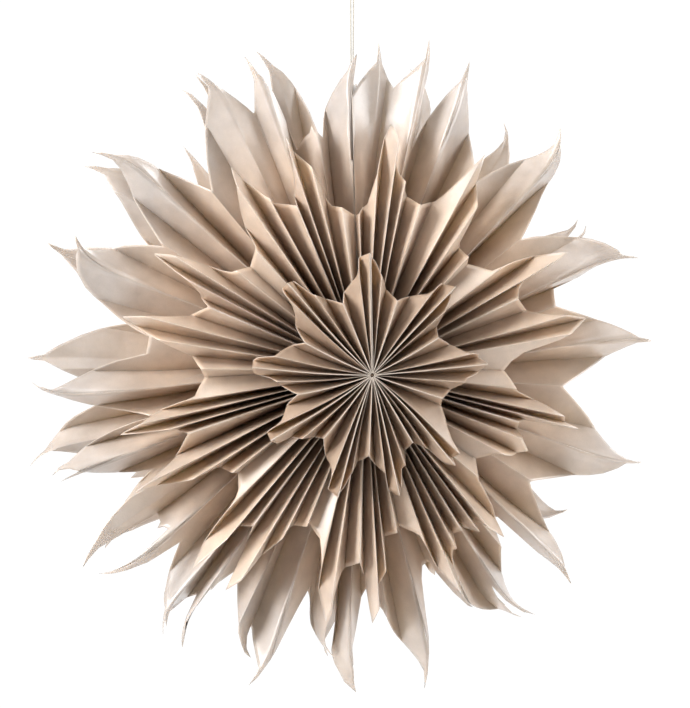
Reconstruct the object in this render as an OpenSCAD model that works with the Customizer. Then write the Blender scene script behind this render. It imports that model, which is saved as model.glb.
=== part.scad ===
// Hanging paper star: eighteen pleated paper bags glued side by side along one
// spine and fanned out to a full circle, held up by a doubled cord.
// The spine lies along Y, the front of the star faces -Y and Z points up.
// The origin is where a hook bears inside the cord's top loop.

/* [Star] */
// Height of the hook above the spine
hang_drop = 385; // [360:1:460]
// Distance from the spine to the tips of the outer petals
outer_tip_r = 300; // [270:1:330]
// Distance from the spine to the notches between the outer petals
outer_notch_r = 210; // [190:1:230]
// Distance from the spine to the tips of the middle petals
middle_tip_r = 224; // [200:1:240]
// Distance from the spine to the deep notches of the middle ring
middle_deep_notch_r = 140; // [120:1:150]
// Distance from the spine to the shallow notches of the middle ring
middle_notch_r = 162; // [150:1:180]
// Distance from the spine to the tips of the small front rosette
rosette_tip_r = 107; // [90:1:120]
// Distance from the spine to the notches of the small front rosette
rosette_notch_r = 67; // [50:1:80]

/* [Depth] */
// Distance from the mid plane to the folds of the rosette
rosette_y = 100; // [95:1:120]
// Distance from the mid plane to the folds of the middle ring
middle_y = 68; // [64:1:75]
// Distance from the mid plane to the folds of the outer ring
outer_y = 38; // [37:1:44]
// Width of one facet of the rosette, from fold to fold
rosette_facet_w = 15; // [12:0.5:18]
// Width of one facet of the middle ring, from fold to fold
middle_facet_w = 20; // [18:0.5:24]
// Width of one facet of the outer ring, from fold to fold
outer_facet_w = 34; // [33:0.5:36]

/* [Paper] */
// Thickness of a leaf: two glued sheets
leaf_t = 0.5; // [0.3:0.1:0.8]
// Thickness of the pleated paper, measured along the spine
pleat_t = 0.4; // [0.3:0.1:0.8]
// Angle between neighbouring leaves when the star is folded away
folded_pitch = 1.5; // [1.5:0.1:3]
// Radius of the glue line along the spine
glue_r = 2; // [1:0.1:2]

/* [Cord] */
// Thickness of one strand of the doubled cord
strand_d = 1.3; // [1:0.1:1.6]
// Distance from the spine to the cord's hole in the two end leaves
hole_r = 256; // [250:1:260]
// Width of the cord's hole
hole_d = 4; // [3.8:0.1:5]
// Free width inside the hanging loop
loop_d = 19; // [14:1:24]
// Length of the knot under the hanging loop
loop_knot_h = 8; // [7:1:9]
// Width of the knot under the hanging loop
loop_knot_d = 5; // [4:0.5:6]
// Width of the stop knot behind the hole
stop_knot_d = 5; // [4.5:0.1:5.2]

/* [Hidden] */
// Directions of the nineteen leaves, in degrees anticlockwise from +X as seen
// from the front. The paper has sprung open a little unevenly. The first and
// last leaf are the end leaves, side by side at the top with the cord between.
seam_deg = [90.5, 112, 136, 157, 179, 198, 216, 234, 252, 268,
            284, 302, 319, 341, 364, 386, 407, 430, 449.5];
bags = len(seam_deg) - 1;
last_leaf = bags;

paper = "#bda58f";
paper_shade = "#a8907a";
cord_white = "#e9e4d8";

leaf_inner_r = glue_r + 0.4;
leaf_taper_deg = 0.3 * folded_pitch;
full_thickness_r = leaf_t / 2 / tan(leaf_taper_deg);
leaf_outer_r = 205;
leaf_waist_r = 45;
leaf_throat_r = 65;
leaf_fork_r = 120;
tab_end_r = hole_r + 12;
tab_half_w = 12;
step_y = 12;

pleat_inner_r = 14;
pleat_steps = 2;
seam_gap = 0.3;

loop_ring_r = (loop_d + strand_d) / 2;
loop_z = -loop_d / 2;
loop_knot_z = loop_z - loop_ring_r - strand_d / 2 - loop_knot_h;
hole_z = hole_r - hang_drop;
strand_sides = 8;

// Each strand runs down from the loop's knot and turns through the hole in the
// first leaf. Heights are above or below the hole.
strand_top = loop_knot_z - hole_z;
strand_end_x = -3.2;
left_strand = [[-1.4, strand_top], [-1.3, 70], [-1, 40], [-0.8, 12],
               [-0.8, 3], [-1.1, 1.4], [-1.8, 0.8], [strand_end_x, 0.8]];
right_strand = [[1.4, strand_top], [1.3, 70], [1, 40], [0.8, 12],
                [0.7, 2], [0, 0], [-1.2, -0.8], [strand_end_x, -0.8]];

// Outlines of the three pleated rings across one bag, from the side with the
// deep middle notch to the other side: [place across the bag, radius].
rosette_line = [[0, rosette_tip_r], [1, rosette_notch_r]];
middle_line = [[0, middle_deep_notch_r], [0.67, middle_tip_r], [1, middle_notch_r]];
outer_line = [[0, outer_tip_r], [0.25, outer_tip_r - 38], [0.5, outer_notch_r],
              [0.75, outer_tip_r - 38], [1, outer_tip_r]];

function deep_side(k) = k % 2 == 0;
function across(k, f) = deep_side(k) ? f : 1 - f;
function at_line(line, f) = lookup(f, line);
function bag_pitch(k) = seam_deg[k + 1] - seam_deg[k];

// Angle of a fold that lies the fraction f across bag k, at radius r. The
// outermost folds stay just clear of the leaves.
function fold_deg(k, f, r) =
    let (margin = asin((leaf_t / 2 + seam_gap) / r))
    seam_deg[k] + margin + f * (bag_pitch(k) - 2 * margin);

// A facet keeps its width from the spine outwards, so the zigzag is deep near
// the spine and opens flatter towards the petals.
function valley_depth(k, facets, width, r) =
    let (half_arc = r * bag_pitch(k) * PI / 180 / facets)
    sqrt(max(0, width * width - half_arc * half_arc));

// Points of one pleated strip: for each fold, steps from the spine outwards,
// first the front skin and then the back skin.
function strip_points(k, facets, line, fold_y, width, way) =
    [for (side = [0, pleat_t]) for (j = [0:facets]) for (step = [0:pleat_steps])
        let (f = j / facets,
             r_end = at_line(line, across(k, f)),
             r = pleat_inner_r + (r_end - pleat_inner_r) * step / pleat_steps,
             a = fold_deg(k, f, r),
             depth = j % 2 == 0 ? 0 : valley_depth(k, facets, width, r))
        [r * cos(a), way * (fold_y - depth - side), r * sin(a) - hang_drop]];

// Faces of the strip as triangles: the two skins, then the paper's edges.
function strip_faces(facets) =
    let (rows = pleat_steps + 1, skin = rows * (facets + 1), last = facets * rows)
    concat(
        [for (j = [0:facets - 1]) for (i = [0:rows - 2])
            let (p = j * rows + i) each [[p, p + 1, p + rows], [p + 1, p + rows + 1, p + rows]]],
        [for (j = [0:facets - 1]) for (i = [0:rows - 2])
            let (p = skin + j * rows + i) each [[p, p + rows, p + 1], [p + 1, p + rows, p + rows + 1]]],
        [for (j = [0:facets - 1])
            let (p = j * rows, q = p + rows) each [[p, q, p + skin], [q, q + skin, p + skin]]],
        [for (j = [0:facets - 1])
            let (p = j * rows + rows - 1, q = p + rows) each [[p, p + skin, q], [q, p + skin, q + skin]]],
        [for (i = [0:rows - 2]) each [[i, i + skin, i + 1], [i + 1, i + skin, i + 1 + skin]]],
        [for (i = [0:rows - 2])
            let (p = last + i) each [[p, p + 1, p + skin], [p + 1, p + 1 + skin, p + skin]]]);

function flipped(faces) = [for (f = faces) [f[0], f[2], f[1]]];

module strip(k, facets, line, fold_y, width, way) {
    faces = strip_faces(facets);
    polyhedron(
        points = strip_points(k, facets, line, fold_y, width, way),
        faces = way > 0 ? flipped(faces) : faces);
}

module pleats(k, way) {
    strip(k, 4, rosette_line, rosette_y, rosette_facet_w, way);
    strip(k, 6, middle_line, middle_y, middle_facet_w, way);
    strip(k, 4, outer_line, outer_y, outer_facet_w, way);
}

module front_pleats(k) {
    color(paper)
        pleats(k, -1);
}

module rear_pleats(k) {
    color(paper_shade)
        pleats(k, 1);
}

// Half of a leaf's outline, from the front of the spine to the mid plane. Its
// fins carry the three pleated rings; an end leaf has the cord's tab as well.
function half_outline(k) =
    let (deep = k % 2 == 0, end = k == 0 || k == last_leaf)
    concat(
        [[0, -rosette_y],
         [deep ? rosette_tip_r : rosette_notch_r, -rosette_y],
         [leaf_waist_r, -rosette_y + rosette_facet_w],
         [leaf_waist_r, -middle_y - 2],
         [deep ? middle_deep_notch_r : middle_notch_r, -middle_y],
         [leaf_throat_r, -middle_y + middle_facet_w],
         [leaf_throat_r, -outer_y - 2],
         [leaf_outer_r, -outer_y]],
        end
            ? [[leaf_fork_r, -tab_half_w], [tab_end_r - step_y, -tab_half_w], [tab_end_r, -tab_half_w / 2]]
            : [[leaf_fork_r, 0]]);

function mirrored(points) = [for (i = [len(points) - 1:-1:0]) [points[i][0], -points[i][1]]];

// Section of a leaf across the spine: it thins towards the glue line, so the
// leaves can lie close together when the star is folded.
module leaf_section() {
    thin = leaf_inner_r * tan(leaf_taper_deg);
    far_r = tab_end_r + 1;
    polygon([[leaf_inner_r, -thin], [full_thickness_r, -leaf_t / 2], [far_r, -leaf_t / 2],
             [far_r, leaf_t / 2], [full_thickness_r, leaf_t / 2], [leaf_inner_r, thin]]);
}

module leaf(k) {
    color(paper)
        translate([0, 0, -hang_drop])
            rotate([0, -seam_deg[k], 0])
                difference() {
                    intersection() {
                        linear_extrude(height = 2 * leaf_t, center = true)
                            polygon(concat(half_outline(k), mirrored(half_outline(k))));
                        rotate([90, 0, 0])
                            linear_extrude(height = 2 * rosette_y, center = true)
                                leaf_section();
                    }
                    if (k == 0 || k == last_leaf)
                        translate([hole_r, 0, 0])
                            cylinder(h = 4 * leaf_t, d = hole_d, center = true, $fn = 32);
                }
}

module spine_glue() {
    color(paper_shade)
        translate([0, 0, -hang_drop])
            rotate([90, 0, 0])
                cylinder(h = 2 * rosette_y, r = glue_r, center = true, $fn = 32);
}

module cord_loop() {
    color(cord_white)
        translate([0, 0, loop_z])
            rotate([90, 0, 0])
                rotate_extrude($fn = 48)
                    translate([loop_ring_r, 0])
                        circle(d = strand_d, $fn = 16);
}

module loop_knot() {
    color(cord_white)
        translate([0, 0, loop_knot_z])
            cylinder(h = loop_knot_h, d = loop_knot_d, $fn = 32);
}

// Direction of a route at point i, along the middle of its two pieces.
function heading(route, i) =
    let (a = route[max(i - 1, 0)], b = route[min(i + 1, len(route) - 1)], d = b - a)
    d / norm(d);

// A strand is a tube swept along its route in the XZ plane.
module strand(route) {
    rings = len(route);
    points = [for (i = [0:rings - 1]) for (s = [0:strand_sides - 1])
        let (h = heading(route, i), turn = 360 * s / strand_sides, r = strand_d / 2)
        [route[i][0] + r * cos(turn) * h[1], r * sin(turn), hole_z + route[i][1] - r * cos(turn) * h[0]]];
    sides = [for (i = [0:rings - 2]) for (s = [0:strand_sides - 1])
        let (p = i * strand_sides + s, q = i * strand_sides + (s + 1) % strand_sides)
        each [[p, p + strand_sides, q], [q, p + strand_sides, q + strand_sides]]];
    first_cap = [[for (s = [0:strand_sides - 1]) s]];
    last_cap = [[for (s = [strand_sides - 1:-1:0]) (rings - 1) * strand_sides + s]];
    polyhedron(points = points, faces = concat(sides, first_cap, last_cap));
}

module hanging_cord() {
    color(cord_white) {
        strand(left_strand);
        strand(right_strand);
    }
}

module stop_knot() {
    color(cord_white)
        translate([strand_end_x - stop_knot_d / 2, 0, hole_z])
            sphere(d = stop_knot_d, $fn = 32);
}

cord_loop();
loop_knot();
hanging_cord();
stop_knot();
spine_glue();
for (k = [0:last_leaf]) {
    leaf(k);
}
for (k = [0:bags - 1]) {
    front_pleats(k);
    rear_pleats(k);
}
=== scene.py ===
import math
import random

import bpy
import numpy as np
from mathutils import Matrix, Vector, noise


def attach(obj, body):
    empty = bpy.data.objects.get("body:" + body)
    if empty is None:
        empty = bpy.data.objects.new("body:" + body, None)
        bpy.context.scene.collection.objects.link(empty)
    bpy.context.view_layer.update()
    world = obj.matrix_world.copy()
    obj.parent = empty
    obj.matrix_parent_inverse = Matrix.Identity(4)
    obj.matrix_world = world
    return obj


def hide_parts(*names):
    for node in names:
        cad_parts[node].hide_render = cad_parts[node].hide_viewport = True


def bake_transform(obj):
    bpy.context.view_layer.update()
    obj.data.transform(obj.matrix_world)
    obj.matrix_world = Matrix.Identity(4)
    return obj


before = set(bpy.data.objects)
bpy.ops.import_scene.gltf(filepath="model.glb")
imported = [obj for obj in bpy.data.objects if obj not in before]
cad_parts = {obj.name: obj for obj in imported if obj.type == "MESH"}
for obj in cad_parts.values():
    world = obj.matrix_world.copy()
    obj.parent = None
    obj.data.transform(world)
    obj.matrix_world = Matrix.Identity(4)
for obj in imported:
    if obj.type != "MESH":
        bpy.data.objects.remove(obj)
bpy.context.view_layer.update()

# ---------------------------------------------------------------- camera
SPINE_Z = -0.385
AZIMUTH = math.radians(-10)
ELEVATION = math.radians(1.5)
DISTANCE = 1.45
VIEW_HEIGHT = 0.66552  # height of the view at the star's distance
AIM_UP = 0.016
AIM_LEFT = 0.0066
SENSOR = 36


def add_camera():
    level = math.cos(ELEVATION)
    away = Vector((math.sin(AZIMUTH) * level, -math.cos(AZIMUTH) * level, math.sin(ELEVATION)))
    right = Vector((math.cos(AZIMUTH), math.sin(AZIMUTH), 0))
    aim = Vector((0, 0, SPINE_Z + AIM_UP)) - right * AIM_LEFT
    data = bpy.data.cameras.new("camera")
    data.sensor_width = SENSOR
    data.sensor_height = SENSOR
    data.sensor_fit = "VERTICAL"
    data.lens = SENSOR * DISTANCE / VIEW_HEIGHT
    camera = bpy.data.objects.new("camera", data)
    camera.location = aim + away * DISTANCE
    camera.rotation_euler = (-away).to_track_quat("-Z", "Y").to_euler()
    bpy.context.scene.collection.objects.link(camera)
    bpy.context.scene.camera = camera


add_camera()


def new_object(name, verts, faces, smooth=True):
    mesh = bpy.data.meshes.new(name)
    mesh.from_pydata([tuple(v) for v in verts], [], [tuple(int(i) for i in f) for f in faces])
    mesh.polygons.foreach_set("use_smooth", [smooth] * len(mesh.polygons))
    mesh.update()
    obj = bpy.data.objects.new(name, mesh)
    bpy.context.scene.collection.objects.link(obj)
    return obj


# ---------------------------------------------------------------- cord
STRAND = 0.0013
PLIES = 3
PLY_DEPTH = 0.14
HOLE_Z = -0.129
LOOP_R = 0.01015
LOOP_Z = -0.0095
# Each strand's route from the loop's knot to the stop knot, in millimetres: x, and height above the hole.
LEFT = [
    (-1.4, 100.7), (-1.35, 85), (-1.3, 70), (-1.15, 55), (-1.0, 40), (-0.88, 25), (-0.8, 12), (-0.8, 7.2),
    (-0.9, 4.4), (-1.35, 2.3), (-2.2, 1.15), (-3.2, 0.8)]
RIGHT = [
    (1.4, 100.7), (1.35, 85), (1.3, 70), (1.15, 55), (1.0, 40), (0.88, 25), (0.8, 12), (0.78, 7), (0.7, 2),
    (0, 0), (-1.2, -0.8), (-3.2, -0.8)]


def dense(points, step):
    """Catmull-Rom line through the points, with a point about every step."""
    pts = [np.array(p, float) for p in points]
    pts = [2 * pts[0] - pts[1]] + pts + [2 * pts[-1] - pts[-2]]
    out = []
    for i in range(1, len(pts) - 2):
        a, b, c, d = pts[i - 1:i + 3]
        n = max(1, int(round(np.linalg.norm(c - b) / step)))
        for j in range(n):
            t = j / n
            out.append(0.5 * (2 * b + (c - a) * t + (2 * a - 5 * b + 4 * c - d) * t * t
                              + (3 * b - a - 3 * c + d) * t ** 3))
    out.append(pts[-2])
    return np.array(out)


def twine(name, line, radius, closed=False, sides=12, lay=0.0042):
    """A tube of twisted plies along the line, which turn once in the length lay; also gives the line's length."""
    n = len(line)
    steps = np.linalg.norm(np.diff(line, axis=0, append=line[:1] if closed else line[-1:]), axis=1)
    along = np.concatenate([[0], np.cumsum(steps)])[:n]
    total = steps.sum()
    if closed:
        lay = total / round(total / lay)
    normal = None
    verts, faces = [], []
    for i in range(n):
        a = line[(i - 1) % n] if closed or i else line[i]
        b = line[(i + 1) % n] if closed or i < n - 1 else line[i]
        d = Vector(b - a).normalized()
        if normal is None:
            normal = d.orthogonal().normalized()
        normal = (normal - d * normal.dot(d)).normalized()
        other = d.cross(normal)
        for s in range(sides):
            w = 2 * math.pi * s / sides
            phase = PLIES * (w - 2 * math.pi * along[i] / lay)
            r = radius * (1 - PLY_DEPTH + PLY_DEPTH * math.cos(phase))
            verts.append(Vector(line[i]) + normal * (r * math.cos(w)) + other * (r * math.sin(w)))
    rings = n if closed else n - 1
    for i in range(rings):
        for s in range(sides):
            p, q = i * sides + s, i * sides + (s + 1) % sides
            pn, qn = ((i + 1) % n) * sides + s, ((i + 1) % n) * sides + (s + 1) % sides
            faces.append((p, q, qn, pn))
    if not closed:
        faces.append(tuple(reversed(range(sides))))
        faces.append(tuple(range((n - 1) * sides, n * sides)))
    return new_object(name, verts, faces), total


def xz(points):
    """The strand's route in metres, in the frame."""
    return [(x / 1000, 0, HOLE_Z + h / 1000) for x, h in points]


cord_parts = []
for name, route in (("cord_strand_left", LEFT), ("cord_strand_right", RIGHT)):
    line = dense(xz(route), 0.0006)
    strand, length = twine(name, line, STRAND / 2)
    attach(strand, "bag_0")
    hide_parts("hanging_cord")
    cord_parts.append(strand)


def ring_line(radius, centre, count):
    """A standing ring that waves a little to the front and the back."""
    turns = [2 * math.pi * i / count for i in range(count)]
    return np.array([(radius * math.sin(a), 0.0002 * math.sin(3 * a), centre + radius * math.cos(a)) for a in turns])


loop, _ = twine("cord_loop_twine", ring_line(LOOP_R, LOOP_Z, 110), STRAND / 2, closed=True)
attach(loop, "hanger")
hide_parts("cord_loop")
cord_parts.append(loop)


def wrap_line(radius, top, bottom, turns):
    """A coil from top to bottom."""
    count = int(turns * 30)
    pts = []
    for i in range(count + 1):
        a = 2 * math.pi * turns * i / count
        z = top + (bottom - top) * i / count
        pts.append((radius * math.cos(a), radius * math.sin(a), z))
    return np.array(pts)


knot_core = dense([(0, 0, -0.0206), (0.0002, 0.0001, -0.0245), (0, 0, -0.0281)], 0.0006)
core, _ = twine("loop_knot_core", knot_core, 0.00135, sides=14)
wraps, _ = twine("loop_knot_wraps", wrap_line(0.00178, -0.0212, -0.0276, 5), 0.00066)
for part in (core, wraps):
    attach(part, "hanger")
    cord_parts.append(part)
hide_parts("loop_knot")


def ball_knot(name, centre, size):
    """A small overhand knot: a trefoil wound tight."""
    pts = []
    for i in range(120):
        t = 2 * math.pi * i / 120
        x = math.sin(t) + 1.7 * math.sin(2 * t)
        y = math.cos(t) - 1.7 * math.cos(2 * t)
        z = -1.5 * math.sin(3 * t)
        pts.append((centre[0] + z * size * 0.42, centre[1] + x * size * 0.36, centre[2] + y * size * 0.36))
    return twine(name, np.array(pts), 0.00072, closed=True)[0]


stop = ball_knot("stop_knot_twine", (-0.0057, 0, HOLE_Z), 0.0018)
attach(stop, "bag_0")
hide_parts("stop_knot")
cord_parts.append(stop)

# ---------------------------------------------------------------- paper: sizes and directions
# Directions are in degrees, anticlockwise from the right, and radii in millimetres, both from the spine.
# The radii in ROSETTE_R, MIDDLE_NOTCH and MIDDLE_TIP, the rosette's leans and a few of the tips in SPIKES are not
# round choices: they are points read off the photo that a separate script turned into millimetres and degrees.
SEAM = [90.5, 112, 136, 157, 179, 198, 216, 234, 252, 268, 284, 302, 319, 341, 364, 386, 407, 430, 449.5]
BAGS = 18
PITCH = [SEAM[k + 1] - SEAM[k] for k in range(BAGS)]

# How far each seam leans from its leaf's direction at each ring's cut edge, in degrees.
LEAN = {
    "rosette": [0.5, 1, -3, -4, -3, -6, -4, -3, 2, -0.5, -1, -1, -6, 1, 1, 4, -1, 1.5, 1.5],
    "middle": [2.5, 0.5, 1, 0, 2, 0, 2, -1, -2, 0.3, -0.5, 0, 4.5, 1.5, -3.5, -0.5, -1.5, 1.5, 3.5],
    "outer": [1.2, -0.3, 1.4, 0.8, 5, 0.7, 3.8, 0.6, 0.4, -0.2, 0.4, 1.2, -2, -0.4, 2.8, -1.8, -0.5, -0.4, 2.2],
}
# Directions of the folds between a bag's two seams, in degrees. Ridges and valleys alternate.
ROSETTE_FOLDS = [
    [94, 97, 106.5], [119.5, 125.5, 129.5], [135, 137.5, 146], [158, 168.5, 173], [180, 182.8, 186],
    [199, 207, 209.5], [218, 221, 228.5], [242, 248, 251], [256, 258.5, 263], [274.5, 277.8, 280.5],
    [286, 290.5, 296], [303.5, 306.5, 309.5], [315.5, 318.3, 337], [350, 355.5, 361], [368, 371.5, 380],
    [394.5, 400.5, 403.5], [409.5, 413, 421.5], [438, 444.5, 448]]
ROSETTE_R = [107, 68, 110, 66, 106, 68, 106, 70, 111, 71, 109, 70, 110, 67, 105, 68, 108, 69, 106]
MIDDLE_NOTCH = [143, 162, 140, 153, 143, 167, 144, 169, 144, 170, 143, 169, 132, 150, 132, 157, 139, 160, 142]
# Tips of the middle ring, one a bag: radius and place across the bag.
MIDDLE_TIP = [
    (222, 0.8), (219, 0.42), (216, 0.66), (221, 0.4), (224, 0.76), (229, 0.44), (231, 0.68), (230, 0.24),
    (226, 0.6), (228, 0.26), (227, 0.6), (202, 0.42), (172, 0.6), (207, 0.16), (221, 0.5), (219, 0.24),
    (229, 0.58), (229, 0.54)]
MIDDLE_FOLDS = [
    [98, 101.5, 104.7, 107, 109, 110.8], [117.5, 119, 121.5, 124.7, 128.5, 131.7],
    [141.7, 145, 148.5, 150.3, 152.3, 155], [161, 165.3, 168, 170.5, 174, 178],
    [188, 190, 192, 193.7, 195.3, 196.8], [203.5, 206, 208.3, 210.7, 213.5, 216], [224, 226.5, 229.5, 231.5],
    [235.5, 238.5, 241, 243, 246, 248.7], [257, 259, 261.5, 265.5], [271, 273.5, 274.8, 276.2, 278.7, 281.5],
    [289.7, 292, 294, 296, 298, 300.5], [304, 306.2, 307.6, 309, 313, 318], [330, 333, 337.5, 340],
    [344, 345.3, 346.3, 347.7, 351, 354], [370.5, 373, 375.5, 380], [388.5, 390, 393, 397.2],
    [407.7, 411, 415.5, 418, 421, 427], [435, 438, 440, 441.7, 444, 446.6, 449.3, 452.3]]
OUTER_FOLDS = [
    [96.5, 100, 105.5, 108.5], [116.5, 121.5, 129.5, 134.3], [142, 147, 153], [164, 170, 179.5],
    [187, 191, 195], [202.5, 208, 215], [226.5, 230.3, 233], [240, 244, 247.5], [259.5, 263.5, 266],
    [272, 276.5, 280], [291, 296, 300], [306.5, 309.5, 313.5], [320.5, 328, 335], [346.5, 356, 363],
    [371.5, 378, 382.2], [390.5, 399, 404], [411, 420, 424], [433.5, 437.8, 444]]
# The outer ring's cut edge is the outline of overlapping spikes: direction and tip radius, then the width in degrees
# and the fullness (1 straight, less bulges, more is hollow) of its clockwise and its anticlockwise side,
# then the tip's bend, its way (0 anticlockwise, 90 towards the outside) and its twist.
SPIKES = {
    "front": [
        (92.5, 292, 0.4, 1, 6.5, 0.55, 35, 180, 20), (101, 229, 4, 0.3, 4.5, 0.3, 0, 0, 0),
        (109.2, 305, 4.3, 0.4, 7, 1, 15, 0, 20), (117, 312, 12, 1, 15, 1, 45, 10, 40),
        (138, 316, 11.5, 1.25, 12.5, 1.25, 35, 10, 40), (158, 297, 12.5, 0.85, 12, 0.8, 70, 150, 60),
        (184.3, 296, 9.5, 0.85, 7, 1.3, 50, 200, 30), (197.2, 292, 5.5, 0.6, 8.3, 0.7, 50, 20, 60),
        (199, 287, 1.2, 1, 1.2, 1, 10, 0, 20), (212, 308, 9.5, 1.5, 3.3, 0.5, 35, 10, 30),
        (217.3, 231, 3.5, 0.1, 3, 0.1, 0, 0, 0), (220, 300, 1.2, 0.5, 6.5, 1.6, 40, 190, 30),
        (230.2, 293, 9, 0.75, 5.5, 0.4, 45, 10, 50), (234.3, 298, 0.9, 0.8, 0.7, 0.8, 50, 10, 30),
        (235, 240, 1.5, 0.6, 6.5, 1, 0, 0, 0), (246.3, 286, 9.5, 1.05, 2.5, 0.6, 60, 10, 40),
        (251.8, 303, 8, 0.6, 9.5, 2.2, 35, 190, 30), (260.5, 275, 2.5, 0.5, 4.5, 0.8, 60, 10, 60),
        (267.2, 296, 2.2, 0.4, 8, 1.7, 40, 20, 60), (283.8, 302, 9.5, 0.7, 5.8, 2, 25, 180, 20),
        (295.3, 246, 2.5, 0.4, 1.5, 0.8, 30, 20, 20), (301.4, 284, 9.5, 0.6, 1.3, 0.5, 40, 10, 30),
        (303.4, 288, 1.4, 0.5, 11, 1.8, 40, 20, 60), (317, 287, 2.2, 0.3, 10.5, 1.2, 20, 170, 30),
        (340.6, 287, 12.8, 1.15, 15.5, 1.1, 15, 10, 60), (366.6, 286, 11, 1.1, 12, 1.1, 12, 180, 10),
        (382.5, 212, 5.5, 1, 3, 1, 0, 0, 0), (384, 292, 2, 0.35, 15, 0.85, 25, 170, 60),
        (406.8, 304, 8.3, 1, 13, 1, 50, 15, 50), (429.7, 306, 12.5, 0.95, 7, 0.8, 12, 10, 20),
        (437.2, 313, 1.4, 0.35, 14, 0.8, 12, 10, 20), (445.7, 303, 11, 0.9, 9, 0.45, 15, 10, 10)],
    "rear": [
        (91, 285, 0.4, 1, 7, 1, 20, 0, 20), (103, 318, 6, 0.5, 7, 0.9, 35, 10, 40),
        (116, 316, 6, 1, 6, 1, 20, 0, 30), (119, 311, 5, 1, 6, 1, 45, 10, 40),
        (126.5, 263, 1.5, 0.8, 5, 1, 0, 0, 20), (139.5, 316, 10, 1, 11, 0.9, 40, 10, 40),
        (157.5, 309, 10, 0.9, 10.5, 0.9, 12, 190, 20), (177, 304, 10.5, 0.8, 10, 0.9, 8, 0, 10),
        (194, 309, 8.5, 0.5, 8, 0.8, 45, 10, 40), (213, 286, 8, 1, 8, 1, 30, 10, 20),
        (232, 304, 8, 0.9, 8, 0.9, 50, 10, 30), (249, 288, 8, 1, 8, 1, 40, 10, 40),
        (265, 272, 8, 1, 8, 1, 40, 10, 50), (281, 270, 7, 1, 8, 1, 50, 10, 30),
        (302.5, 286, 6, 1.2, 6, 1.2, 30, 10, 20), (323.5, 268, 7, 1, 7, 1, 55, 10, 30),
        (343, 256, 8, 1, 8, 1, 30, 190, 40), (364, 256, 9, 1, 9, 1, 25, 170, 30),
        (388.5, 283, 7, 1, 6, 1, 45, 10, 30), (391, 277, 4, 1, 6, 1, 45, 10, 30),
        (413.5, 291, 7, 1, 7, 0.9, 50, 10, 40), (433.5, 305, 6, 1, 5, 1, 50, 10, 40),
        (448, 285, 8, 1, 4, 1, 20, 20, 20)],
}
LOW = 194  # where no spike reaches, the cut edge is here
FOLDS = {"rosette": ROSETTE_FOLDS, "middle": MIDDLE_FOLDS, "outer": OUTER_FOLDS}

# fold_y: the ridges' distance from the star's middle; width: of one facet; rows: points from the spine to the cut
# edge; leaned: radius at which a seam has its full lean; s: places of the points across a facet.
RINGS = {
    "rosette": {"fold_y": 0.100, "width": 0.024, "rows": 22, "leaned": 0.11,
                "s": [0, 0.025, 0.15, 0.4, 0.6, 0.85, 0.975]},
    "middle": {"fold_y": 0.068, "width": 0.030, "rows": 30, "leaned": 0.16,
               "s": [0, 0.02, 0.12, 0.35, 0.65, 0.88, 0.98]},
    "outer": {"fold_y": 0.038, "width": 0.036, "rows": 46, "leaned": 0.2,
              "s": [0, 0.016, 0.08, 0.25, 0.5, 0.75, 0.92, 0.984]},
}
SPINE_R = 0.0018
STRIP_T = 0.0004
SHEET_T = 0.0002
SINK = 0.013
APART = 0.00045  # each end leaf's distance from the middle of the closure
HOLE_R = HOLE_Z - SPINE_Z
HOLE_HALF = 0.002
CORNER = 0.707  # brings the square hole's corners onto a circle
END_R = 0.268


def step(x):
    x = np.clip(x, 0, 1)
    return x * x * (3 - 2 * x)


def shade_and_sheen_at(r):
    """The paper's colour value by radius: 0 is painted shade, dark between the inner pleats; 0.5 is the paper's own
    warm colour; 1 is a painted pale sheen towards the tips.
    """
    return 0.5 * step((r - 0.06) / 0.08) + 0.5 * step((r - 0.16) / 0.11)


def set_apart(seam, r):
    """Angle in degrees that keeps the two end leaves, which stand side by side unglued, out of each other."""
    return {0: 1, BAGS: -1}.get(seam, 0) * np.degrees(APART / np.maximum(r, 0.004))


def lean_grown(ring, seam, r):
    """Lean of a seam at the radius r: it grows outwards, sooner at the closure, where two seams meet."""
    reach = RINGS[ring]["leaned"] * (0.35 if seam in (0, BAGS) else 1)
    return LEAN[ring][seam] * step(r / reach) + set_apart(seam, r)


def sink(ring, seam):
    """How far a seam lies behind the ring's ridges: more than nothing where it is a valley."""
    valley = (ring == "middle" and seam % 2 == 0) or (ring == "outer" and seam == 1)
    return SINK if valley else 0.0


def folds_of(ring, way, k, rng):
    """Places of a strip's folds across the bag, and whether the first one is a valley."""
    a, b = SEAM[k] + LEAN[ring][k], SEAM[k + 1] + LEAN[ring][k + 1]
    wobble = 0.0 if way == "front" else 0.35
    inner = [(d + rng.uniform(-wobble, wobble) - a) / (b - a) for d in FOLDS[ring][k]]
    out = [0.0] + inner + [1.0]
    assert all(y > x for x, y in zip(out, out[1:])), (ring, k, out)
    return out, 1 if sink(ring, k) else 0


def spike_edge(way, a):
    """Radius in millimetres of the outer ring's cut edge in the direction a, and the number of the spike there."""
    best, which = LOW, 0
    for i, (at, tip, wide_cw, full_cw, wide_ccw, full_ccw, *_) in enumerate(SPIKES[way]):
        d = a - at
        wide, full = (wide_ccw, full_ccw) if d >= 0 else (wide_cw, full_cw)
        u = abs(d) / wide
        g = 0.87 * max(0.0, 1 - u) ** full + 0.13 * max(0.0, 1 - abs(d) / 0.55)
        if u < 1 and LOW + (tip - LOW) * g > best:
            best, which = LOW + (tip - LOW) * g, i
    return best, which


def spike_start(way, i):
    """Radius beyond which a spike bends: outside its notches on both sides."""
    at, tip = SPIKES[way][i][:2]
    low = 0.8 * tip
    for sign in (-1, 1):
        for j in range(1, 120):
            r, which = spike_edge(way, at + sign * j * 0.12)
            if which != i or r <= LOW:
                low = max(low, min(r + 2, tip - 14))
                break
    return low


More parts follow.
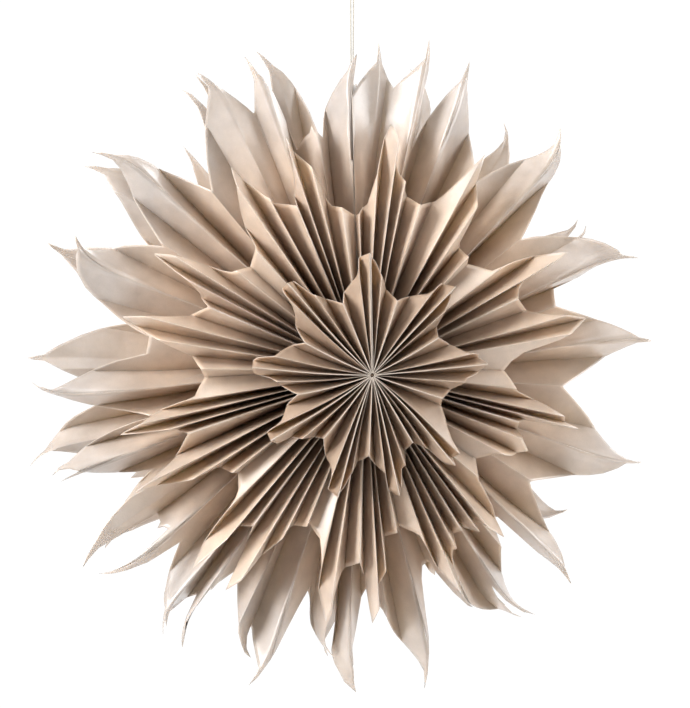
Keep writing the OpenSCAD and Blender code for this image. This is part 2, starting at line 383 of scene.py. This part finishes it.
def outline(ring, way, k, f):
    """Radius of the strip's cut edge at the place f across bag k, in millimetres."""
    if ring == "rosette":
        tip, notch, u = (ROSETTE_R[k], ROSETTE_R[k + 1], f) if k % 2 == 0 else (ROSETTE_R[k + 1], ROSETTE_R[k], 1 - f)
        return float(np.interp(u, [0, 0.2, 0.32, 0.6, 1], [tip, tip - 4, 88, 79, notch]))
    if ring == "middle":
        tip_r, tip_f = MIDDLE_TIP[k]
        n0, n1, rest = MIDDLE_NOTCH[k], MIDDLE_NOTCH[k + 1], 1 - tip_f
        shoulder = 0.45 * tip_r + 82
        return float(np.interp(f, [0, 0.48 * tip_f, 0.68 * tip_f, tip_f, tip_f + 0.32 * rest, tip_f + 0.52 * rest, 1],
                               [n0, n0 + 11, shoulder, tip_r, shoulder, n1 + 11, n1]))
    a, b = SEAM[k] + LEAN[ring][k], SEAM[k + 1] + LEAN[ring][k + 1]
    return spike_edge(way, a + (b - a) * f)[0]


def curl(points, way, i):
    """Bends and twists the outer end of a spike."""
    at, tip_r, _, _, _, _, hook, toward, twist = SPIKES[way][i]
    out = -1 if way == "front" else 1
    a = math.radians(at)
    e_r = np.array([math.cos(a), 0, math.sin(a)])
    e_t = np.array([-math.sin(a), 0, math.cos(a)])
    e_y = np.array([0, out, 0.0])
    rel = points - np.array([0, 0, SPINE_Z])
    rho, q, h = rel @ e_r, rel @ e_t, rel @ e_y
    h0 = RINGS["outer"]["fold_y"] - 0.004
    start, end = STARTS[way][i] / 1000, tip_r * 0.001
    s = np.clip((rho - start) / (end - start), 0, 1.1)
    grid = np.linspace(0, 1.1, 60)
    phi_grid = math.radians(hook) * grid ** 1.8
    d = (end - start) * (grid[1] - grid[0])
    c_r = np.concatenate([[0], np.cumsum(np.cos(phi_grid[:-1]) * d)])
    c_b = np.concatenate([[0], np.cumsum(np.sin(phi_grid[:-1]) * d)])
    phi = np.interp(s, grid, phi_grid)
    line_r = np.where(s > 0, start + np.interp(s, grid, c_r), rho)
    line_b = np.interp(s, grid, c_b)
    tw = math.radians(twist) * s ** 1.5 * (1 if i % 2 else -1)
    dh = h - h0
    q2, h2 = q * np.cos(tw) - dh * np.sin(tw), q * np.sin(tw) + dh * np.cos(tw)
    p = math.radians(toward)
    b = math.cos(p) * e_t + math.sin(p) * e_y
    side_way = -math.sin(p) * e_t + math.cos(p) * e_y
    o = q2[:, None] * e_t + h2[:, None] * e_y
    ob, o_side = o @ b, o @ side_way
    bent = (line_r[:, None] * e_r + (line_b + ob * np.cos(phi))[:, None] * b
            - (ob * np.sin(phi))[:, None] * e_r + o_side[:, None] * side_way + h0 * e_y)
    return bent + np.array([0, 0, SPINE_Z])


STARTS = {way: [spike_start(way, i) for i in range(len(SPIKES[way]))] for way in SPIKES}


def set_blend(obj):
    """Bakes the piece's placement into its mesh and reads out its points, which nothing uses."""

    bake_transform(obj)
    co = np.zeros(len(obj.data.vertices) * 3, np.float32)
    obj.data.vertices.foreach_get("co", co)


def ripple(points, size, seed):
    return np.array([noise.noise(Vector((p[0] / size + seed, p[1] / size, p[2] / size))) for p in points])


def strip_places(ring, way, k, folds):
    """Places across the bag where a strip has a column of points: at its folds and at its spikes."""
    places = []
    for a, b in zip(folds, folds[1:]):
        places += [a + (b - a) * s for s in RINGS[ring]["s"]]
    places.append(1.0)
    extra = []
    if ring == "outer":
        a, b = SEAM[k] + LEAN[ring][k], SEAM[k + 1] + LEAN[ring][k + 1]
        for at, *_ in SPIKES[way]:
            extra += [(at + d - a) / (b - a) for d in (-1.4, -0.55, -0.25, 0, 0.25, 0.55, 1.4)]
        fine = [i / 90 for i in range(1, 90)]
        spikes = [spike_edge(way, a + (b - a) * f)[1] for f in fine]
        extra += [f for f, here, there in zip(fine, spikes, spikes[1:]) if here != there]
    elif ring == "middle":
        extra.append(MIDDLE_TIP[k][1])
    for f in extra:
        if 0.004 < f < 0.996 and min(abs(f - p) for p in places) > 0.004:
            places.append(f)
    return sorted(places)


def strip(ring, way, k):
    """One ring's pleated strip of bag k, at the front or the rear."""
    spec = RINGS[ring]
    rng = random.Random(f"{ring}{way}{k}")
    fold_y, width, rows = spec["fold_y"], spec["width"], spec["rows"]
    out = -1 if way == "front" else 1
    folds, kind = folds_of(ring, way, k, rng)
    last_fold = len(folds) - 1
    sag = [0 if c in (0, last_fold) else rng.uniform(0, 0.0025) for c in range(last_fold + 1)]
    deep = [rng.uniform(0.85, 1.0) for c in range(last_fold + 1)]
    bow = [rng.uniform(-0.03, 0.06) for _ in range(last_fold)]
    t = np.linspace(0, 1, rows) ** 0.85
    pitch = math.radians(PITCH[k])
    lean0, lean1 = LEAN[ring][k], LEAN[ring][k + 1]
    # Strength of the painted highlight along the fold crests, weaker on the outer ring.
    pale = 0.4 if ring == "outer" else 1.0

    def fold_depth(c, r):
        """Depth of fold c behind the ring's ridges at the radii r."""
        if c in (0, last_fold):
            return sink(ring, k if c == 0 else k + 1) * step(r / 0.06)
        if (c + kind) % 2 == 0:
            return sag[c] * step(r / 0.05)
        half = r * pitch * (folds[c + 1] - folds[c - 1]) / 2
        full = np.sqrt(np.maximum(width * width - half * half, (0.25 * width) ** 2)) * deep[c]
        return full * (1 - 0.12 * step((r - 0.17) / 0.1)) if ring == "outer" else full

    verts, uvs, crest_highlight, owner, shade_and_sheen = [], [], [], [], []
    # Painted light and shade: each facet is made lighter or darker at random, in place of how the light falls on it.
    painted_facet_light = [rng.uniform(-0.09, 0.09) for _ in range(last_fold)]
    places = strip_places(ring, way, k, folds)
    for f in places:
        j = min(last_fold - 1, int(np.searchsorted(folds, f + 1e-9)) - 1)
        s = (f - folds[j]) / (folds[j + 1] - folds[j])
        r = SPINE_R + (outline(ring, way, k, f) / 1000 - SPINE_R) * t
        margin = np.arcsin(np.minimum(0.9, 0.00012 / r))
        first = np.radians(SEAM[k] + lean_grown(ring, k, r)) + margin
        last = np.radians(SEAM[k + 1] + lean_grown(ring, k + 1, r)) - margin
        angle = first + (last - first) * f
        depth = fold_depth(j, r) * (1 - s) + fold_depth(j + 1, r) * s + 4 * s * (1 - s) * bow[j] * width
        if ring == "outer":
            a = SEAM[k] + lean0 + (SEAM[k + 1] + lean1 - SEAM[k] - lean0) * f
            number = spike_edge(way, a)[1]
            near_axis = max(0.0, 1 - abs(a - SPIKES[way][number][0]) / 2.2)
            depth = np.maximum(depth - 0.0035 * near_axis * step((r - 0.15) / 0.1), 0)
            owner += [number] * rows
        verts.append(np.stack([r * np.cos(angle), out * (fold_y - depth), r * np.sin(angle) + SPINE_Z], axis=1))
        uvs.append(np.stack([np.full(rows, (j + s) * width), r], axis=1))
        # Painted shade: the rosette is held dark. The other rings get painted shade towards the spine and a painted
        # pale sheen towards the tips, and each facet gets its own painted light and shade.
        shade_and_sheen.append(np.full(rows, 0.2 + 0.5 * painted_facet_light[j]) if ring == "rosette"
                    else np.clip(shade_and_sheen_at(r) + painted_facet_light[j], 0, 1))
        # Painted highlight along each fold: full on the ridge side, less on the valley side.
        near = min(s, 1 - s) * width
        ridge_side = (s < 0.5) == ((j + kind) % 2 == 0)
        crest_highlight.append(np.full(rows, pale * max(0.0, 1 - near / 0.0005) * (1.0 if ridge_side else 0.3)))
    count = len(places)
    points = np.concatenate(verts)
    uv = np.concatenate(uvs)
    crest_highlight = np.concatenate(crest_highlight)
    f_all = np.repeat(places, rows)
    r_all = np.hypot(points[:, 0], points[:, 2] - SPINE_Z)
    seed = rng.uniform(0, 100)
    inner = np.where((f_all > 1e-6) & (f_all < 1 - 1e-6), 1.0, 0.0)
    if ring == "outer":
        amount = 0.0019 * step((r_all - 0.1) / 0.15)
        points[:, 1] += (ripple(points, 0.035, seed) * amount * inner
                         + ripple(points, 0.014, seed + 7) * amount * 0.18 * inner)
        owner = np.array(owner)
        for number in sorted(set(owner)):
            points[owner == number] = curl(points[owner == number], way, number)
    else:
        amount = 0.0007 * step((r_all - 0.02) / 0.08)
        points[:, 1] += (ripple(points, 0.03, seed) + 0.3 * ripple(points, 0.01, seed + 7)) * amount * inner
    faces = []
    for c in range(count - 1):
        for i in range(rows - 1):
            p, q = c * rows + i, (c + 1) * rows + i
            faces.append((p, q, q + 1, p + 1) if out > 0 else (p, p + 1, q + 1, q))
    obj = sheet(f"{way}_{ring}_{k}", points, faces, STRIP_T, uv, crest_highlight, np.concatenate(shade_and_sheen))
    set_blend(obj)
    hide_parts(f"{way}_pleats_{k}")


def sheet(name, points, faces, thickness, uv, crest_highlight, shade_and_sheen):
    """Paper of the given thickness about a surface: two smooth sides and a flat rim along its free edges."""
    points, quads, count = np.array(points, float), np.array(faces), len(points)
    across = np.cross(points[quads[:, 2]] - points[quads[:, 0]], points[quads[:, 3]] - points[quads[:, 1]])
    normals = np.zeros((count, 3))
    for corner in range(4):
        np.add.at(normals, quads[:, corner], across)
    normals *= thickness / 2 / np.maximum(np.linalg.norm(normals, axis=1), 1e-12)[:, None]
    edges = {(f[i], f[(i + 1) % 4]) for f in faces for i in range(4)}
    rim = [(b, a, a + count, b + count) for a, b in edges if (b, a) not in edges]
    rim.sort()
    back = [(a + count, d + count, c + count, b + count) for a, b, c, d in faces]
    obj = new_object(name, np.concatenate([points + normals, points - normals]), list(faces) + back + rim)
    mesh = obj.data
    for material in (PAPER, REVERSE, CUT_EDGE):
        mesh.materials.append(material)
    n = len(faces)
    mesh.polygons.foreach_set("material_index", [0] * n + [1] * n + [2] * len(rim))
    mesh.polygons.foreach_set("use_smooth", [True] * (2 * n) + [False] * len(rim))
    layer = mesh.uv_layers.new(name="paper")
    loops = np.zeros(len(mesh.loops), np.int32)
    mesh.loops.foreach_get("vertex_index", loops)
    layer.data.foreach_set("uv", np.tile(np.array(uv, np.float32), (2, 1))[loops].ravel())
    for attribute, values in (("crest_highlight", crest_highlight), ("shade_and_sheen", shade_and_sheen)):
        both = np.tile(np.array(values, np.float32), 2)
        mesh.attributes.new(attribute, "FLOAT", "POINT").data.foreach_set("value", both)
    mesh.update()
    return obj


# ---------------------------------------------------------------- materials
def node_material(name):
    material = bpy.data.materials.new(name)
    material.use_nodes = True
    tree = material.node_tree
    tree.nodes.clear()
    output = tree.nodes.new("ShaderNodeOutputMaterial")
    shader = tree.nodes.new("ShaderNodeBsdfPrincipled")
    tree.links.new(shader.outputs["BSDF"], output.inputs["Surface"])
    return material, tree, shader


def add(tree, kind, **values):
    node = tree.nodes.new(kind)
    for key, value in values.items():
        if hasattr(node, key):
            setattr(node, key, value)
        else:
            node.inputs[key].default_value = value
    return node


def mix(tree, factor, a, b, mode="MIX"):
    node = tree.nodes.new("ShaderNodeMix")
    node.data_type = "RGBA"
    node.blend_type = mode
    for socket, value in ((node.inputs[0], factor), (node.inputs[6], a), (node.inputs[7], b)):
        if hasattr(value, "links"):
            tree.links.new(value, socket)
        elif isinstance(value, (int, float)):
            socket.default_value = value
        else:
            socket.default_value = (*value, 1)
    return node.outputs[2]


def scaled(tree, value, low, high, out_low, out_high):
    node = tree.nodes.new("ShaderNodeMapRange")
    tree.links.new(value, node.inputs[0])
    for i, v in enumerate((low, high, out_low, out_high)):
        node.inputs[i + 1].default_value = v
    return node.outputs[0]


def times(colour, factor):
    return tuple(c * factor for c in colour)


def paper_material(name, base, warm, outer, pale, rough, coat):
    """Satin paper: base, warm and outer are its colours at the values 0, 0.5 and 1 of the painted shade and sheen:
    base is painted shade, warm the paper's own colour, outer a painted pale sheen; pale is the colour of the painted
    highlight along the fold crests.
    """
    material, tree, shader = node_material(name)
    uv = tree.nodes.new("ShaderNodeUVMap")
    uv.uv_map = "paper"
    place = tree.nodes.new("ShaderNodeTexCoord")
    fibre_map = add(tree, "ShaderNodeMapping")
    fibre_map.inputs["Scale"].default_value = (2600, 700, 1)
    tree.links.new(uv.outputs[0], fibre_map.inputs[0])
    fibres = add(tree, "ShaderNodeTexNoise", Scale=1.0, Detail=4.0, Roughness=0.6)
    tree.links.new(fibre_map.outputs[0], fibres.inputs["Vector"])
    clouds = add(tree, "ShaderNodeTexNoise", Scale=38.0, Detail=3.0, Roughness=0.55)
    tree.links.new(place.outputs["Object"], clouds.inputs["Vector"])
    crest_highlight = tree.nodes.new("ShaderNodeAttribute")
    crest_highlight.attribute_name = "crest_highlight"
    shade_and_sheen = tree.nodes.new("ShaderNodeAttribute")
    shade_and_sheen.attribute_name = "shade_and_sheen"
    # Painted shade towards the spine and painted pale sheen towards the tips, over the paper's warm colour.
    near, far = scaled(tree, shade_and_sheen.outputs["Fac"], 0, 0.5, 0, 1), scaled(tree, shade_and_sheen.outputs["Fac"], 0.5, 1, 0, 1)
    dark, light = [mix(tree, far, mix(tree, near, times(base, v), times(warm, v)), times(outer, v))
                   for v in (0.88, 1.08)]
    colour = mix(tree, scaled(tree, clouds.outputs[0], 0.35, 0.65, 0, 1), dark, light)
    colour = mix(tree, scaled(tree, fibres.outputs[0], 0.35, 0.75, 0, 0.22), colour, times(base, 0.8))
    # Painted highlight along the fold crests.
    colour = mix(tree, scaled(tree, crest_highlight.outputs["Fac"], 0, 1, 0, 0.36), colour, pale)
    tree.links.new(colour, shader.inputs["Base Color"])
    tree.links.new(scaled(tree, clouds.outputs[0], 0.3, 0.7, rough - 0.05, rough + 0.06), shader.inputs["Roughness"])
    shader.inputs["Specular IOR Level"].default_value = 0.5
    shader.inputs["Coat Weight"].default_value = coat
    shader.inputs["Coat Roughness"].default_value = 0.3
    shader.inputs["Subsurface Weight"].default_value = 0.3
    shader.inputs["Subsurface Radius"].default_value = (1.0, 0.75, 0.55)
    shader.inputs["Subsurface Scale"].default_value = 0.003
    first = add(tree, "ShaderNodeBump", Strength=0.07, Distance=0.0002)
    tree.links.new(fibres.outputs[0], first.inputs["Height"])
    wrinkles = add(tree, "ShaderNodeTexNoise", Scale=95.0, Detail=2.0, Roughness=0.5, Distortion=0.6)
    tree.links.new(place.outputs["Object"], wrinkles.inputs["Vector"])
    second = add(tree, "ShaderNodeBump", Strength=0.22, Distance=0.0012)
    tree.links.new(wrinkles.outputs[0], second.inputs["Height"])
    tree.links.new(first.outputs[0], second.inputs["Normal"])
    crumples = add(tree, "ShaderNodeTexVoronoi", Scale=17.0, feature="DISTANCE_TO_EDGE")
    bent = add(tree, "ShaderNodeTexNoise", Scale=9.0, Detail=2.0)
    tree.links.new(place.outputs["Object"], bent.inputs["Vector"])
    warped = mix(tree, 0.12, place.outputs["Object"], bent.outputs["Color"])
    tree.links.new(warped, crumples.inputs["Vector"])
    third = add(tree, "ShaderNodeBump", Distance=0.004)
    tree.links.new(crumples.outputs[0], third.inputs["Height"])
    tree.links.new(scaled(tree, shade_and_sheen.outputs["Fac"], 0.3, 1, 0.05, 0.4), third.inputs["Strength"])
    tree.links.new(second.outputs[0], third.inputs["Normal"])
    tree.links.new(third.outputs[0], shader.inputs["Normal"])
    return material


def plain_fibre_material(name, base, rough, scale, bump, distance, stretch=(1, 1, 1)):
    material, tree, shader = node_material(name)
    place = tree.nodes.new("ShaderNodeTexCoord")
    mapping = add(tree, "ShaderNodeMapping")
    mapping.inputs["Scale"].default_value = stretch
    tree.links.new(place.outputs["Object"], mapping.inputs[0])
    fuzz = add(tree, "ShaderNodeTexNoise", Scale=scale, Detail=5.0, Roughness=0.65)
    tree.links.new(mapping.outputs[0], fuzz.inputs["Vector"])
    colour = mix(tree, scaled(tree, fuzz.outputs[0], 0.3, 0.7, 0, 1), times(base, 0.8), times(base, 1.08))
    tree.links.new(colour, shader.inputs["Base Color"])
    tree.links.new(scaled(tree, fuzz.outputs[0], 0.3, 0.7, rough - 0.06, rough + 0.06), shader.inputs["Roughness"])
    height = add(tree, "ShaderNodeBump", Strength=bump, Distance=distance)
    tree.links.new(fuzz.outputs[0], height.inputs["Height"])
    tree.links.new(height.outputs[0], shader.inputs["Normal"])
    return material


# base is the painted shade colour between the inner pleats, outer the painted pale sheen of the tips, pale the
# painted highlight on the fold crests; warm is the paper's own colour.
PAPER = paper_material("satin_paper", base=(0.30, 0.20, 0.135), warm=(0.68, 0.51, 0.39),
                       outer=(0.475, 0.418, 0.382), pale=(0.79, 0.66, 0.54), rough=0.38, coat=0.75)
REVERSE = paper_material("paper_reverse", base=(0.28, 0.19, 0.13), warm=(0.61, 0.46, 0.355),
                         outer=(0.43, 0.378, 0.345), pale=(0.72, 0.62, 0.52), rough=0.5, coat=0.35)
CUT_EDGE = plain_fibre_material("paper_cut_edge", (0.66, 0.56, 0.47), 0.7, 1500, 0.3, 0.0002)
COTTON = plain_fibre_material("cotton", (0.52, 0.47, 0.39), 0.85, 2200, 0.6, 0.0002, (1, 1, 0.25))
GLUE = plain_fibre_material("dried_glue", (0.30, 0.23, 0.17), 0.45, 500, 0.5, 0.0006)

for part in cord_parts:
    part.data.materials.append(COTTON)

# ---------------------------------------------------------------- pleated strips
for k in range(BAGS):
    for way in ("front", "rear"):
        for ring in RINGS:
            strip(ring, way, k)


# ---------------------------------------------------------------- leaves
# Depths between which a leaf's lean passes from none to the outer, the middle and the rosette's, in its slots.
LEAN_DEPTHS = [0, 0.015, 0.034, 0.0405, 0.046, 0.0705, 0.077]


def leaf(k):
    """The two glued sheets between two bags; half is the outline of one half: depth, and radius in millimetres."""
    end = k in (0, BAGS)
    middle_r = END_R * 1000 if end else 120
    low, mid = 0.038 - sink("outer", k) - 0.001, 0.068 - sink("middle", k) - 0.0006
    half = [(0.0, middle_r), (0.006, middle_r), (0.0119, 262 if end else 120), (0.012, 120),
            (low - 0.002, 180), (low, 182), (low + 0.0025, 65), (mid - 0.02, 65),
            (mid - 0.001, MIDDLE_NOTCH[k] - 4), (mid, MIDDLE_NOTCH[k] - 4), (mid + 0.0025, 45), (0.085, 45),
            (0.0985, ROSETTE_R[k] - 3), (0.100, ROSETTE_R[k])]
    ys, rs = [p[0] for p in half], [p[1] / 1000 for p in half]
    extra = list(np.linspace(0, 0.100, 26))
    y_list = sorted(set([round(v, 5) for v in ys + extra + [HOLE_HALF] * end]))
    y_list = [-v for v in y_list[:0:-1]] + y_list
    cols = list(np.linspace(0, 1, 14) ** 0.9)
    hole_cols = [(HOLE_R + d - SPINE_R) / (END_R - SPINE_R) for d in (-HOLE_HALF, 0, HOLE_HALF)] if end else []
    cols = sorted(cols + hole_cols)
    verts, faces, uv, shade_and_sheen = [], [], [], []
    base = 0
    rings_out = ("outer", "middle", "rosette")
    for side in (-1, 1):
        for y in y_list:
            r_out = float(np.interp(abs(y), ys, rs))
            part = float(np.interp(abs(y), LEAN_DEPTHS, [0, 0, 1, 1, 2, 2, 3]))
            for c in cols:
                r = SPINE_R + (r_out - SPINE_R) * c
                y_at = y
                if end and abs(y) == HOLE_HALF and c in (hole_cols[0], hole_cols[2]):
                    y_at, r = y * CORNER, HOLE_R + (r - HOLE_R) * CORNER
                leans = [float(set_apart(k, r))] + [float(lean_grown(ring, k, r)) for ring in rings_out]
                open_edge = 0.00010 + 0.00022 * float(step((c - 0.6) / 0.4))
                lean = float(np.interp(part, [0, 1, 2, 3], leans))
                a = math.radians(SEAM[k] + lean) + side * open_edge / max(r, 0.004)
                verts.append((r * math.cos(a), y_at, r * math.sin(a) + SPINE_Z))
                uv.append((y_at, r))
                # Painted shade towards the spine and painted pale sheen outwards, as on the strips.
                shade_and_sheen.append(float(shade_and_sheen_at(r)))
        n_c = len(cols)
        for i in range(len(y_list) - 1):
            for c in range(n_c - 1):
                if end and -HOLE_HALF <= y_list[i] < HOLE_HALF and hole_cols[0] <= cols[c] < hole_cols[2]:
                    continue
                p = base + i * n_c + c
                q = p + n_c
                faces.append((p, p + 1, q + 1, q) if side > 0 else (p, q, q + 1, p + 1))
        base += len(y_list) * n_c
    obj = sheet(f"leaf_sheets_{k}", verts, faces, SHEET_T, uv, np.zeros(len(shade_and_sheen)), shade_and_sheen)
    set_blend(obj)
    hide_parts(f"leaf_{k}")


for k in range(BAGS + 1):
    leaf(k)


# ---------------------------------------------------------------- glue line
def glue_line():
    rings, sides = 120, 16
    verts, faces = [], []
    for i in range(rings + 1):
        y = -0.0985 + 0.197 * i / rings
        taper = min(1, (1 - abs(y) / 0.0992) * 40)
        for s in range(sides):
            a = 2 * math.pi * s / sides
            bump = 1 + 0.14 * noise.noise(Vector((math.cos(a) * 1.3, y * 260, math.sin(a) * 1.3)))
            r = 0.0017 * bump * max(0.15, taper) ** 0.5
            verts.append((r * math.cos(a), y, SPINE_Z + r * math.sin(a)))
    for i in range(rings):
        for s in range(sides):
            p, q = i * sides + s, i * sides + (s + 1) % sides
            faces.append((p, p + sides, q + sides, q))
    faces.append(tuple(range(sides)))
    faces.append(tuple(reversed(range(rings * sides, (rings + 1) * sides))))
    obj = new_object("spine_glue_bead", verts, faces)
    obj.data.materials.append(GLUE)
    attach(obj, "bag_0")
    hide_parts("spine_glue")


glue_line()


# ---------------------------------------------------------------- stage
def area_light(name, place, size, power, colour=(1, 1, 1), aim=(0, 0, SPINE_Z)):
    data = bpy.data.lights.new(name, "AREA")
    data.shape = "RECTANGLE"
    data.size, data.size_y = size
    data.energy = power
    data.color = colour
    light = bpy.data.objects.new(name, data)
    light.location = place
    light.rotation_euler = (Vector(aim) - Vector(place)).to_track_quat("-Z", "Y").to_euler()
    bpy.context.scene.collection.objects.link(light)


def add_stage():
    count, reach, low = 64, 2.5, -1.5
    turns = [2 * math.pi * i / count for i in range(count)]
    ring = [(reach * math.cos(a), reach * math.sin(a), low) for a in turns]
    floor = new_object("floor", ring, [tuple(range(count))], smooth=False)
    material, tree, shader = node_material("pale_floor")
    shader.inputs["Base Color"].default_value = (0.92, 0.92, 0.92, 1)
    shader.inputs["Roughness"].default_value = 0.9
    floor.data.materials.append(material)
    world = bpy.data.worlds.new("studio")
    bpy.context.scene.world = world
    world.use_nodes = True
    tree = world.node_tree
    background = tree.nodes.get("Background")
    background.inputs[0].default_value = (1, 1, 1, 1)
    ray = tree.nodes.new("ShaderNodeLightPath")
    way = tree.nodes.new("ShaderNodeTexCoord")
    axes = tree.nodes.new("ShaderNodeSeparateXYZ")
    tree.links.new(way.outputs["Generated"], axes.inputs[0])
    lit = scaled(tree, axes.outputs["Y"], -0.25, 0.5, 0.03, 1.05)
    seen = tree.nodes.new("ShaderNodeMath")
    seen.operation = "MAXIMUM"
    tree.links.new(scaled(tree, ray.outputs["Is Camera Ray"], 0, 1, 0, 1.05), seen.inputs[0])
    tree.links.new(lit, seen.inputs[1])
    tree.links.new(seen.outputs[0], background.inputs[1])
    area_light("left", (-1.85, -0.8, 0.35), (0.9, 1.6), 76, (0.97, 0.985, 1.0))
    area_light("right", (1.9, -0.7, 0.0), (1.0, 1.6), 44, (0.96, 0.98, 1.0))
    area_light("top", (0, -0.7, 1.3), (1.5, 1.0), 18)
    area_light("back", (0.9, 1.9, 0.5), (1.5, 1.5), 20)
    bpy.context.scene.view_settings.view_transform = "Standard"


add_stage()
